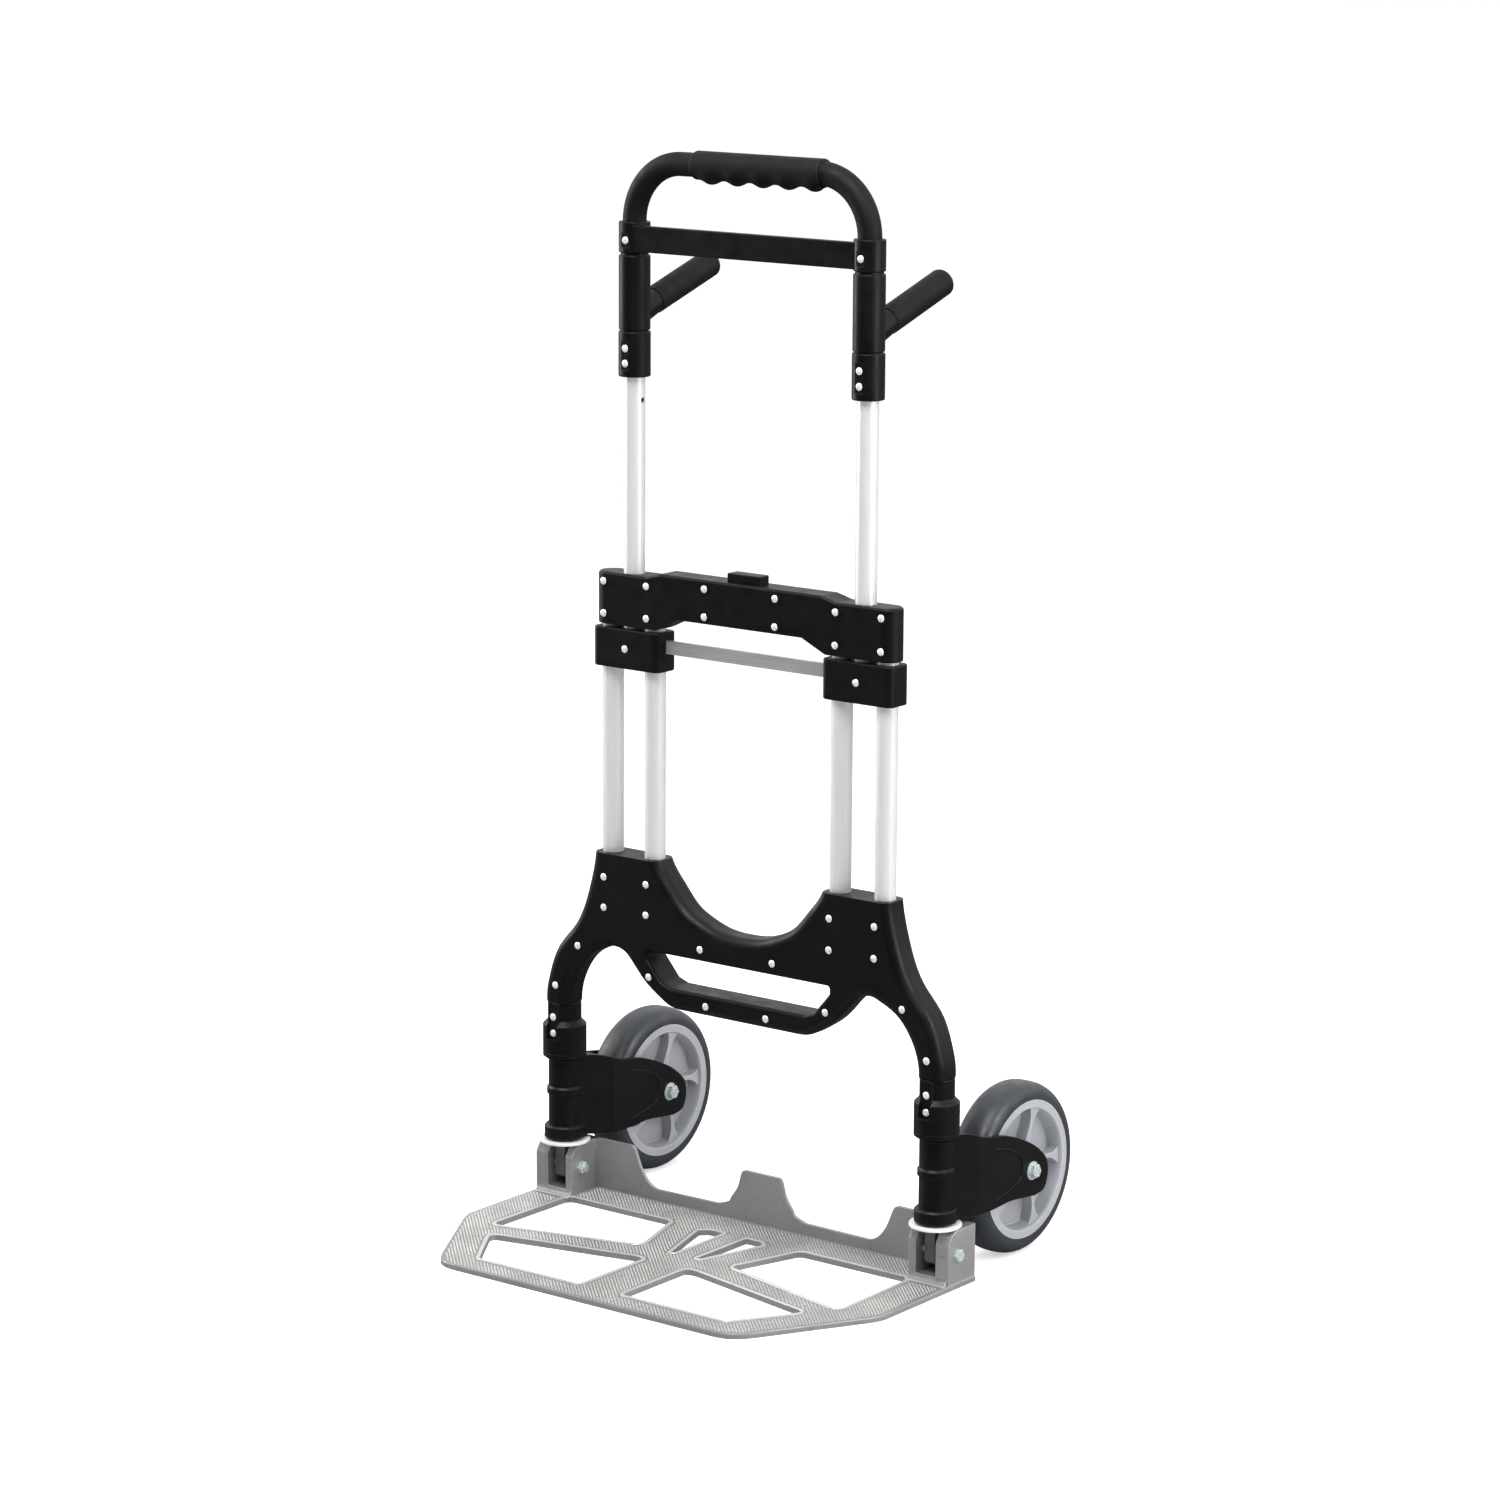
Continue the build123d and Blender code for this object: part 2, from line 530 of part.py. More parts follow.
# ================================================================ corner posts
for name, s in SIDES.items():
    with BuildPart() as leg_post:
        with BuildSketch(Plane.XY.offset(BLOCK_TOP_Z + 0.5)):
            with Locations((s * LEG_X, 0)):
                Circle(POST_R)
        extrude(amount=POST_TOP_Z - BLOCK_TOP_Z - 0.5)
        # flat tongue that hangs in the hinge block
        with BuildSketch(Plane.XY.offset(24.5)):
            with Locations((s * (LEG_X - 0.5), 0)):
                Rectangle(14, 20)
        extrude(amount=BLOCK_TOP_Z + 0.5 - 24.5)
        fillet(leg_post.edges().filter_by(Axis.X).group_by(Axis.Z)[0], 8)
        with BuildSketch(Plane.YZ.offset(s * LEG_X)):
            with Locations((0, PIVOT_Z)):
                Circle(BOLT_R + FIT)
        extrude(amount=20, both=True, mode=Mode.SUBTRACT)
        drill_along_y([(s * LEG_X, z) for z in POST_RIVETS_Z] + [(s * 271.7, 266.8)], RIVET_R)
    save(leg_post.part, f"leg_post_{name}")

    with BuildPart() as cam_collar:
        with BuildSketch(Plane.XZ):
            with BuildLine():
                FilletPolyline((POST_R, SEAM_Z + 0.6), (COLLAR_BIG_R, SEAM_Z + 0.6), (COLLAR_BIG_R, 216),
                               (COLLAR_UP_R, 222), (COLLAR_UP_R, 244.5), (POST_R, 244.5),
                               radius=0.8, close=True)
            make_face()
        revolve(axis=Axis.Z)
        # flat bosses in front and behind carry the two rivets
        with BuildSketch(Plane.XY.offset(198)):
            Rectangle(16, 2 * BOSS_HALF)
            Circle(POST_R, mode=Mode.SUBTRACT)
        extrude(amount=46)
        flat_seats(0, 200, 260, BOSS_HALF, width=16)
        drill_along_y([(0, z) for z in POST_RIVETS_Z], RIVET_R)
    save(Pos(s * LEG_X, 0, 0) * cam_collar.part, f"cam_collar_{name}")

    with BuildPart() as post_washer:
        with BuildSketch(Plane.XY.offset(69.5)):
            with Locations((s * LEG_X, 0)):
                Circle(WASHER_R)
                Circle(POST_R, mode=Mode.SUBTRACT)
        extrude(amount=3.5)
        fillet(post_washer.edges().filter_by(lambda e: e.length > 150), 1)
    save(post_washer.part, f"post_washer_{name}")

with BuildPart() as collar_rivets:
    for s in (1, -1):
        for rz in POST_RIVETS_Z:
            rivet(s * LEG_X, rz, BOSS_HALF)
save(collar_rivets.part, "collar_rivets")

# ================================================================ wheel brackets
AXLE_HEAD_X = FORK_HALF + 1.2
FORK_CREASE_Y = 49.0


def fork_outline():
    """Side outline of a fork cheek, (y, z)."""
    with BuildLine() as outline:
        Spline((2, 174.5), (36, 172.5), (60, 164), (100, 156.5), (135, 144.5), (170, 126), (187, 111))
        Spline((187, 111), (191.5, 95), (187, 78), (165, 70), tangents=((0.35, -1), (-1, -0.1)))
        Spline((165, 70), (137, 73), (113, 75), (82, 73.5), (52, 74), (2, 79))
        Line((2, 79), (2, 174.5))
    make_face(outline.edges())


for name, s in SIDES.items():
    with BuildPart() as wheel_bracket:
        with BuildSketch(Plane.YZ.offset(s * (WHEEL_X - FORK_HALF))):
            fork_outline()
        extrude(amount=s * 2 * FORK_HALF)
        # seen from above the box flares from the barrel to the two cheeks
        with BuildSketch(Plane.XY.offset(60)):
            with BuildLine():
                Polyline((s * (LEG_X - 15), 0), (s * (WHEEL_X - FORK_HALF), FORK_CREASE_Y),
                         (s * (WHEEL_X - FORK_HALF), 200), (s * (WHEEL_X + FORK_HALF), 200),
                         (s * (WHEEL_X + FORK_HALF), FORK_CREASE_Y), (s * (LEG_X + 15), 0), close=True)
            make_face()
        extrude(amount=130, mode=Mode.INTERSECT)
        # wheel pocket between the cheeks
        with BuildSketch(Plane.YZ.offset(s * (WHEEL_X - FORK_HALF + FORK_T))):
            with BuildLine():
                Polyline((FORK_CREASE_Y, 60), (220, 60), (220, 200), (FORK_CREASE_Y + 16, 200),
                         (FORK_CREASE_Y, 130), close=True)
            make_face()
        extrude(amount=s * 2 * (FORK_HALF - FORK_T), mode=Mode.SUBTRACT)
        # barrel with its ring bump, foot ring and the turning half of the big collar
        with BuildSketch(Plane(origin=(s * LEG_X, 0, 0), x_dir=(1, 0, 0), z_dir=(0, -1, 0))):
            with BuildLine():
                Polyline((0, 75), (RING_R - 1, 75), (RING_R, 76), (RING_R, 89), (RING_R - 2, 91),
                         (BARREL_R, 91), (BARREL_R, 127.5), (BARREL_R + 2, 130), (BARREL_R + 2, 137),
                         (BARREL_R, 139.5), (BARREL_R, 172), (COLLAR_BIG_R, 177), (COLLAR_BIG_R, SEAM_Z),
                         (0, SEAM_Z), close=True)
            make_face()
        revolve(axis=Axis((s * LEG_X, 0, 0), (0, 0, 1)))
        bore_down([(s * LEG_X, 0)], BUSH_R, 70, SEAM_Z + 1)
        with BuildSketch(Plane.YZ.offset(s * (WHEEL_X - FORK_HALF - 2))):
            with Locations((WHEEL_Y, WHEEL_R)):
                Circle(AXLE_R)
        extrude(amount=s * (2 * FORK_HALF + 4), mode=Mode.SUBTRACT)
    save(wheel_bracket.part, f"wheel_bracket_{name}")

    with BuildPart() as swivel_bush:
        with BuildSketch(Plane.XY.offset(75)):
            with Locations((s * LEG_X, 0)):
                Circle(BUSH_R)
                Circle(POST_R + FIT, mode=Mode.SUBTRACT)
        extrude(amount=SEAM_Z - 75)
    save(swivel_bush.part, f"swivel_bush_{name}")

    # axle bolt: hexagon head outside, nyloc nut inside, both over plain washers
    axle_plane = Plane(origin=(s * WHEEL_X, WHEEL_Y, WHEEL_R), x_dir=(0, 1, 0), z_dir=(s, 0, 0))
    with BuildPart() as axle_bolt:
        with BuildSketch(axle_plane.offset(-FORK_HALF - 9)):
            Circle(AXLE_R)
        extrude(amount=2 * FORK_HALF + 9 + AXLE_HEAD_X - FORK_HALF + 1)
        with BuildSketch(axle_plane.offset(AXLE_HEAD_X)):
            RegularPolygon(8.6, 6)
        extrude(amount=6.2)
        chamfer(axle_bolt.faces().sort_by(Axis.X, reverse=s > 0)[0].edges(), 0.8)
    save(axle_bolt.part, f"axle_bolt_{name}")

    with BuildPart() as axle_washers:
        for start in (FORK_HALF, -FORK_HALF - 1.2):
            with BuildSketch(axle_plane.offset(start)):
                Circle(11)
                Circle(AXLE_R, mode=Mode.SUBTRACT)
            extrude(amount=1.2)
    save(axle_washers.part, f"axle_washers_{name}")

    with BuildPart() as axle_nut:
        with BuildSketch(axle_plane.offset(-FORK_HALF - 1.2)):
            RegularPolygon(8.6, 6)
            Circle(AXLE_R, mode=Mode.SUBTRACT)
        extrude(amount=-7)
        chamfer(axle_nut.faces().sort_by(Axis.X, reverse=s < 0)[0].outer_wire().edges(), 0.8)
    save(axle_nut.part, f"axle_nut_{name}")

# ================================================================ wheels
WEB_HALF = 5.0
SPOKE_HALF = 18.5
VANE_ROOT_R = 14.0
VANE_TIP_R = 73.0
BEARING_R = 11.0
BEARING_T = 7.0
HUB_HALF = 25.0

for name, s in SIDES.items():
    wheel_axis = Axis((s * WHEEL_X, WHEEL_Y, WHEEL_R), (1, 0, 0))
    wheel_section = Plane(origin=(s * WHEEL_X, WHEEL_Y, WHEEL_R), x_dir=(1, 0, 0), z_dir=(0, -1, 0))
    with BuildPart() as tyre:
        with BuildSketch(wheel_section):
            with BuildLine():
                Line((-TYRE_HALF, RIM_R), (-TYRE_HALF, 88))
                Spline((-TYRE_HALF, 88), (-19.5, 96.5), (-11, 100.6), (0, WHEEL_R), (11, 100.6), (19.5, 96.5),
                       (TYRE_HALF, 88))
                Line((TYRE_HALF, 88), (TYRE_HALF, RIM_R))
                Line((TYRE_HALF, RIM_R), (-TYRE_HALF, RIM_R))
            make_face()
        revolve(axis=wheel_axis)
    save(tyre.part, f"tyre_{name}")

    with BuildPart() as rim:
        with BuildSketch(wheel_section):
            with BuildLine():
                Polyline((-TYRE_HALF, RIM_R), (TYRE_HALF, RIM_R), (TYRE_HALF, RIM_IN_R),
                         (TYRE_HALF - 3, RIM_IN_R - 1.5), (WEB_HALF, RIM_IN_R - 4),
                         (WEB_HALF, HUB_R + 3), (HUB_HALF - 4, HUB_R), (HUB_HALF, HUB_R - 1),
                         (HUB_HALF, 0), (-HUB_HALF, 0), (-HUB_HALF, HUB_R - 1), (-HUB_HALF + 4, HUB_R),
                         (-WEB_HALF, HUB_R + 3), (-WEB_HALF, RIM_IN_R - 4), (-TYRE_HALF + 3, RIM_IN_R - 1.5),
                         (-TYRE_HALF, RIM_IN_R), close=True)
            make_face()
        revolve(axis=wheel_axis)
        # five curved vanes on both faces, their edges sloping down from hub to rim
        hub_plane = Plane(origin=(s * WHEEL_X - HUB_HALF, WHEEL_Y, WHEEL_R), x_dir=(0, 1, 0), z_dir=(1, 0, 0))
        with BuildPart(mode=Mode.PRIVATE) as vane:
            with BuildSketch(hub_plane):
                with BuildLine():
                    Spline((VANE_ROOT_R, 8), (36, 9), (58, 6), (VANE_TIP_R, 12))
                    Line((VANE_TIP_R, 12), (VANE_TIP_R, -13))
                    Spline((VANE_TIP_R, -13), (58, -0.5), (36, 2), (VANE_ROOT_R, -5))
                    Line((VANE_ROOT_R, -5), (VANE_ROOT_R, 8))
                make_face()
            extrude(amount=2 * HUB_HALF)
            slope_plane = Plane(origin=(s * WHEEL_X, WHEEL_Y, WHEEL_R), x_dir=(1, 0, 0), z_dir=(0, 0, 1))
            with BuildSketch(slope_plane):
                with BuildLine():
                    Polyline((-HUB_HALF + 3, VANE_ROOT_R - 2), (HUB_HALF - 3, VANE_ROOT_R - 2),
                             (HUB_HALF - 3, HUB_R), (SPOKE_HALF, VANE_TIP_R + 2),
                             (-SPOKE_HALF, VANE_TIP_R + 2), (-HUB_HALF + 3, HUB_R), close=True)
                make_face()
            extrude(amount=HUB_HALF, both=True, mode=Mode.INTERSECT)
        for k in range(SPOKES):
            add(vane.part.rotate(wheel_axis, 360 / SPOKES * k))
        with BuildSketch(hub_plane):
            Circle(AXLE_R + 2)
        extrude(amount=2 * HUB_HALF, mode=Mode.SUBTRACT)
        for start in (0, 2 * HUB_HALF - BEARING_T):
            with BuildSketch(hub_plane.offset(start)):
                Circle(BEARING_R)
            extrude(amount=BEARING_T, mode=Mode.SUBTRACT)
    save(rim.part, f"rim_{name}")

    with BuildPart() as wheel_bearings:
        for start in (0, 2 * HUB_HALF - BEARING_T):
            with BuildSketch(hub_plane.offset(start)):
                Circle(BEARING_R)
                Circle(AXLE_R + FIT, mode=Mode.SUBTRACT)
            extrude(amount=BEARING_T)
    save(wheel_bearings.part, f"wheel_bearings_{name}")

# ================================================================ toe plate
def plate_outline():
    """Outline of the toe plate from above, (x, y)."""
    with BuildLine() as outline:
        for s in (1, -1):
            Line((0, FLANGE_Y), (s * PLATE_X, FLANGE_Y))
            Line((s * PLATE_X, FLANGE_Y), (s * PLATE_X, -138))
            Spline((s * PLATE_X, -138), (s * 302.5, -149), (s * 296, -163),
                   tangents=((0, -1), (-s * 0.5, -0.86)))
            Line((s * 296, -163), (s * 236, -266))
            Spline((s * 236, -266), (s * 214, -296), (s * 188, PLATE_FRONT_Y),
                   tangents=((-s * 0.5, -0.86), (-s, 0)))
            Line((s * 188, PLATE_FRONT_Y), (0, PLATE_FRONT_Y))
    make_face(outline.edges())


def plate_windows(mode=Mode.ADD):
    """The six openings of the toe plate."""
    windows = (
        ([(252, -18), (96, -18), (66, -112), (254, -160)], 9),
        ([(31, -150), (47, -150), (230, -190), (180, -268), (31, -268)], 7),
        ([(16.5, -112), (21, -112), (47, -27), (38, -18), (17, -18)], 2),
    )
    for corners, radius in windows:
        for s in (1, -1):
            with BuildLine() as outline:
                FilletPolyline(*[(s * x, y) for x, y in corners], radius=radius, close=True)
            make_face(outline.edges(), mode=mode)


def flange_outline():
    """Rear flange seen from the front: low between raised tabs, (x, z)."""
    with BuildLine() as outline:
        for s in (1, -1):
            Line((0, 70), (s * 24, 70))
            Spline((s * 24, 70), (s * 30, 65), (s * 35.5, 47.5), (s * 45.5, 33), (s * 65, 22),
                   tangents=((s, 0), (s, -0.3)))
            Line((s * 65, 22), (s * 156, 21))
            Spline((s * 156, 21), (s * 173, 30), (s * 184.3, 47), (s * 190.3, 62), (s * 200, 69),
                   tangents=((s, 0.15), (s, 0)))
            Line((s * 200, 69), (s * 303, 69))
            Line((s * 303, 69), (s * 303, 0))
        Line((303, 0), (-303, 0))
    make_face(outline.edges())


foot_sag = FOOT_R * (1 - cos(radians(45)))
with BuildPart() as toe_plate:
    with BuildSketch(Plane.XY):
        plate_outline()
    extrude(amount=PLATE_T)
    with BuildSketch(Plane.XY):
        plate_windows()
    extrude(amount=PLATE_T, mode=Mode.SUBTRACT)
    fillet(toe_plate.faces().sort_by(Axis.Z)[-1].edges(), 1.6)
    # raised smooth rim around every opening
    with BuildSketch(Plane.XY.offset(PLATE_T - 2)):
        plate_windows()
        offset(amount=LIP_W, kind=Kind.INTERSECTION)
        plate_windows(Mode.SUBTRACT)
    extrude(amount=2 + LIP_H)
    lip_tops = toe_plate.faces().filter_by(lambda f: f.center().Z > PLATE_T + LIP_H - 0.1)
    chamfer(lip_tops.edges(), 0.6)
    with BuildSketch(Plane.XZ.offset(-FLANGE_Y)):
        flange_outline()
    extrude(amount=FLANGE_T)
    for s in (1, -1):
        # hinge block: two cheeks and a rear wall around the tongue
        with BuildSketch(Plane.YZ.offset(s * BLOCK_IN_X)):
            with BuildLine():
                Polyline((FLANGE_Y - 1, 0), (BLOCK_FRONT_Y, 0), (BLOCK_FRONT_Y, 54), (-11, 64),
                         (-2, BLOCK_TOP_Z), (FLANGE_Y - 1, BLOCK_TOP_Z), close=True)
            make_face()
        extrude(amount=s * (BLOCK_OUT_X - BLOCK_IN_X))
        # concave foot between the block and the plate
        with BuildSketch(Plane.YZ.offset(s * BLOCK_IN_X)):
            with BuildLine():
                ThreePointArc((BLOCK_FRONT_Y, PLATE_T + FOOT_R),
                              (BLOCK_FRONT_Y - foot_sag, PLATE_T + foot_sag),
                              (BLOCK_FRONT_Y - FOOT_R, PLATE_T))
                Polyline((BLOCK_FRONT_Y - FOOT_R, PLATE_T), (BLOCK_FRONT_Y - FOOT_R, PLATE_T - 1),
                         (BLOCK_FRONT_Y + 1, PLATE_T - 1), (BLOCK_FRONT_Y + 1, PLATE_T + FOOT_R),
                         (BLOCK_FRONT_Y, PLATE_T + FOOT_R))
            make_face()
        extrude(amount=s * (FOOT_OUT_X - BLOCK_IN_X))
        with BuildSketch(Plane.XY.offset(14)):
            with Locations((s * (SLOT_IN_X + SLOT_OUT_X) / 2, 0)):
                Rectangle(SLOT_OUT_X - SLOT_IN_X, 44)
        extrude(amount=70, mode=Mode.SUBTRACT)
        with BuildSketch(Plane.YZ.offset(s * (BLOCK_IN_X - 1))):
            with Locations((0, PIVOT_Z)):
                Circle(BOLT_R)
        extrude(amount=s * (BLOCK_OUT_X - BLOCK_IN_X + 2), mode=Mode.SUBTRACT)
save(toe_plate.part, "toe_plate")

for name, s in SIDES.items():
    hinge_plane = Plane(origin=(s * BLOCK_OUT_X, 0, PIVOT_Z), x_dir=(0, 1, 0), z_dir=(s, 0, 0))
    with BuildPart() as hinge_bolt:
        with BuildSketch(hinge_plane.offset(-BLOCK_OUT_X + BLOCK_IN_X - 9)):
            Circle(BOLT_R)
        extrude(amount=BLOCK_OUT_X - BLOCK_IN_X + 9 + 1)
        with BuildSketch(hinge_plane):
            RegularPolygon(7.4, 6)
        extrude(amount=5.5)
        chamfer(hinge_bolt.faces().sort_by(Axis.X, reverse=s > 0)[0].edges(), 0.7)
    save(hinge_bolt.part, f"hinge_bolt_{name}")

    with BuildPart() as hinge_nut:
        with BuildSketch(hinge_plane.offset(-BLOCK_OUT_X + BLOCK_IN_X)):
            RegularPolygon(7.4, 6)
            Circle(BOLT_R, mode=Mode.SUBTRACT)
        extrude(amount=-6.5)
        chamfer(hinge_nut.faces().sort_by(Axis.X, reverse=s < 0)[0].outer_wire().edges(), 0.7)
    save(hinge_nut.part, f"hinge_nut_{name}")
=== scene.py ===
import json
import math

import bpy
from mathutils import Matrix, Vector
from mathutils.bvhtree import BVHTree


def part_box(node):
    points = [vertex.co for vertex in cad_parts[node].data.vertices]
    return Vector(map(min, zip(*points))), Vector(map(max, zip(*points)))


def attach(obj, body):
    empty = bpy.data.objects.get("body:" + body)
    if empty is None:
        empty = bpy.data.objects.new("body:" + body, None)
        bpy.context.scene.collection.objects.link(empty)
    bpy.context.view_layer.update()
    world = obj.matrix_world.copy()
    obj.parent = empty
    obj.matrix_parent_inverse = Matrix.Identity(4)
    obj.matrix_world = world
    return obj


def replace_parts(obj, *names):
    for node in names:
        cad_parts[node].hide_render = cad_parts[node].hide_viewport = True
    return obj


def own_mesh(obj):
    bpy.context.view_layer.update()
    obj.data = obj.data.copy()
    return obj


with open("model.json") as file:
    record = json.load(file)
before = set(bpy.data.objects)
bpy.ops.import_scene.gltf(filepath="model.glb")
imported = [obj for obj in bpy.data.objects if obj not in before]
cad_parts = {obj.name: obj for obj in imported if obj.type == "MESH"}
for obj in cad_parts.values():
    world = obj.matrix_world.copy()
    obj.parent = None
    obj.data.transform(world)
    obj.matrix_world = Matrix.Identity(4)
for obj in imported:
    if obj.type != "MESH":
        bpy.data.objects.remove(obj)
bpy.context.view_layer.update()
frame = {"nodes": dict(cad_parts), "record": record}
nodes = frame["nodes"]

MM = 0.001
DOWN = Vector((0, 0, -1))
WHITE = (1.0, 1.0, 1.0, 1.0)


# ---------------------------------------------------------------- shader helpers
class Nodes:
    """A shader node tree, with short ways to add nodes and join them."""

    def __init__(self, tree):
        self.tree = tree

    def node(self, kind, **values):
        made = self.tree.nodes.new(kind)
        for key, value in values.items():
            setattr(made, key, value)
        return made

    def link(self, source, target):
        self.tree.links.new(source, target)

    def remap(self, value, low, high, to_low, to_high, **values):
        made = self.node("ShaderNodeMapRange", **values)
        limits = {"From Min": low, "From Max": high, "To Min": to_low, "To Max": to_high}
        for key, number in limits.items():
            made.inputs[key].default_value = number
        self.link(value, made.inputs["Value"])
        return made.outputs["Result"]

    def math(self, operation, *values):
        made = self.node("ShaderNodeMath", operation=operation)
        for socket, value in zip(made.inputs, values):
            self.link(value, socket)
        return made.outputs["Value"]

    def z_of(self, vector):
        made = self.node("ShaderNodeSeparateXYZ")
        self.link(vector, made.inputs["Vector"])
        return made.outputs["Z"]


class Paint(Nodes):
    """A Principled material that varies with procedural noise in object coordinates."""

    def __init__(self, name, color, roughness, metallic=0.0, specular=0.5):
        self.material = bpy.data.materials.new(name)
        self.material.use_nodes = True
        super().__init__(self.material.node_tree)
        self.shader = self.tree.nodes["Principled BSDF"]
        self.set("Base Color", (*color, 1.0))
        self.set("Roughness", roughness)
        self.set("Metallic", metallic)
        self.set("Specular IOR Level", specular)
        self.place = self.node("ShaderNodeTexCoord").outputs["Object"]

    def set(self, key, value):
        self.shader.inputs[key].default_value = value

    def stretched(self, scale):
        """Object coordinates scaled by (x, y, z), for grain that runs one way."""
        mapping = self.node("ShaderNodeMapping")
        mapping.inputs["Scale"].default_value = scale
        self.link(self.place, mapping.inputs["Vector"])
        return mapping.outputs["Vector"]

    def noise(self, scale, detail, vector=None, roughness=0.5):
        made = self.node("ShaderNodeTexNoise")
        made.inputs["Scale"].default_value = scale
        made.inputs["Detail"].default_value = detail
        made.inputs["Roughness"].default_value = roughness
        self.link(vector or self.place, made.inputs["Vector"])
        return made.outputs["Fac"]

    def tint(self, value, color):
        """Mixes the base colour towards another where value is high."""
        made = self.node("ShaderNodeMix", data_type="RGBA")
        self.link(value, made.inputs["Factor"])
        base = self.shader.inputs["Base Color"]
        if base.links:
            self.link(base.links[0].from_socket, made.inputs["A"])
        else:
            made.inputs["A"].default_value = base.default_value[:]
        made.inputs["B"].default_value = (*color, 1.0)
        self.link(made.outputs["Result"], base)

    def patches(self, scale, detail, span, strength, color, vector=None, roughness=0.5):
        """Tints cloudy patches: none where the noise is below the span, full above it."""
        noise = self.noise(scale, detail, vector, roughness)
        self.tint(self.remap(noise, *span, 0.0, strength), color)

    def polish(self, scale, detail, low, high, vector=None):
        """Lets the roughness wander between two values."""
        noise = self.noise(scale, detail, vector)
        self.link(self.remap(noise, 0.3, 0.7, low, high), self.shader.inputs["Roughness"])

    def grain(self, scale, detail, height, strength, vector=None):
        """Fine bumps, laid over any soft edges made before."""
        bump = self.node("ShaderNodeBump")
        bump.inputs["Strength"].default_value = strength
        bump.inputs["Distance"].default_value = height
        self.link(self.noise(scale, detail, vector), bump.inputs["Height"])
        normal = self.shader.inputs["Normal"]
        if normal.links:
            self.link(normal.links[0].from_socket, bump.inputs["Normal"])
        self.link(bump.outputs["Normal"], normal)

    def bevelled_normal(self, radius):
        bevel = self.node("ShaderNodeBevel", samples=4)
        bevel.inputs["Radius"].default_value = radius
        return bevel.outputs["Normal"]

    def soft_edges(self, radius):
        """Shades hard edges as if they were rounded."""
        self.link(self.bevelled_normal(radius), self.shader.inputs["Normal"])

    def edge_wear_and_sheen(self, radius, low, color):
        """Tints the edges, where the true normal and a bevelled one part: partly wear, partly
        painted sheen and highlight.
        """
        geometry = self.node("ShaderNodeNewGeometry")
        dot = self.node("ShaderNodeVectorMath", operation="DOT_PRODUCT")
        self.link(self.bevelled_normal(radius), dot.inputs[0])
        self.link(geometry.outputs["Normal"], dot.inputs[1])
        self.tint(self.remap(dot.outputs["Value"], 0.99, low, 0.0, 1.0), color)


# ---------------------------------------------------------------- materials
def black_shell():
    """Satin moulded plastic: fine spark-eroded grain and paler edges, partly wear and partly
    painted sheen.
    """
    paint = Paint("black_shell", (0.0022, 0.0022, 0.0025), 0.4, specular=0.26)
    paint.soft_edges(0.8 * MM)
    paint.polish(55, 4, 0.36, 0.5)
    paint.patches(9, 5, (0.45, 0.75), 0.5, (0.006, 0.006, 0.0063))
    # paler edges: partly wear, partly painted sheen on rounded edges
    paint.edge_wear_and_sheen(1.2 * MM, 0.86, (0.022, 0.022, 0.023))
    paint.grain(1500, 2, 0.06 * MM, 0.5)
    return paint.material


def black_grip():
    """Matte foam rubber with a slightly open surface."""
    paint = Paint("black_grip", (0.003, 0.003, 0.0034), 0.58, specular=0.24)
    paint.polish(80, 4, 0.52, 0.7)
    paint.patches(28, 5, (0.5, 0.75), 0.6, (0.009, 0.009, 0.0095))
    paint.grain(900, 3, 0.12 * MM, 0.55)
    return paint.material


def bright_tube():
    """Bright anodised tube, drawn along its length."""
    paint = Paint("bright_tube", (0.84, 0.845, 0.845), 0.36, metallic=0.4)
    drawn = paint.stretched((1.0, 1.0, 0.02))
    paint.polish(900, 2, 0.3, 0.44, drawn)
    paint.patches(420, 3, (0.35, 0.7), 0.3, (0.74, 0.745, 0.745), drawn)
    paint.grain(2200, 2, 0.03 * MM, 0.3, drawn)
    return paint.material


def brushed_bar():
    """Flat bar brushed along X."""
    paint = Paint("brushed_bar", (0.6, 0.6, 0.595), 0.4, metallic=0.7)
    brushed = paint.stretched((0.02, 1.0, 1.0))
    paint.polish(1200, 2, 0.28, 0.48, brushed)
    paint.patches(700, 3, (0.35, 0.7), 0.6, (0.78, 0.78, 0.78), brushed)
    paint.grain(2500, 2, 0.03 * MM, 0.5, brushed)
    return paint.material


# heights over which the raised rims round the plate's openings turn bright, and dull again
RIM_FADE_IN = (6.7 * MM, 7.0 * MM)
RIM_FADE_OUT = (7.5 * MM, 7.7 * MM)


def cast_plate():
    """Satin cast metal with a faint cloudy tone and small dark pits."""
    paint = Paint("cast_plate", (0.27, 0.268, 0.262), 0.38, metallic=0.5)
    paint.soft_edges(1.0 * MM)
    paint.patches(14, 5, (0.4, 0.7), 0.7, (0.35, 0.348, 0.342))
    paint.polish(120, 4, 0.3, 0.48)
    # bright edges: partly wear, partly painted highlight
    paint.edge_wear_and_sheen(1.5 * MM, 0.8, (0.8, 0.8, 0.8))
    # painted light: upright faces are tinted paler than the top, as if more brightly lit
    normal = paint.node("ShaderNodeTexCoord").outputs["Normal"]
    level = paint.math("ABSOLUTE", paint.z_of(normal))
    paint.tint(paint.remap(level, 0.2, 0.7, 0.5, 0.0), (0.46, 0.465, 0.47))
    # the raised rims round the openings are rubbed bright
    height = paint.z_of(paint.place)
    above = paint.remap(height, *RIM_FADE_IN, 0.0, 1.0)
    below = paint.remap(height, *RIM_FADE_OUT, 1.0, 0.0)
    paint.tint(paint.math("MULTIPLY", above, below), (0.6, 0.6, 0.595))
    # dark pits
    paint.patches(260, 2, (0.66, 0.7), 0.55, (0.09, 0.085, 0.08), roughness=0.7)
    paint.grain(700, 3, 0.08 * MM, 0.4)
    return paint.material


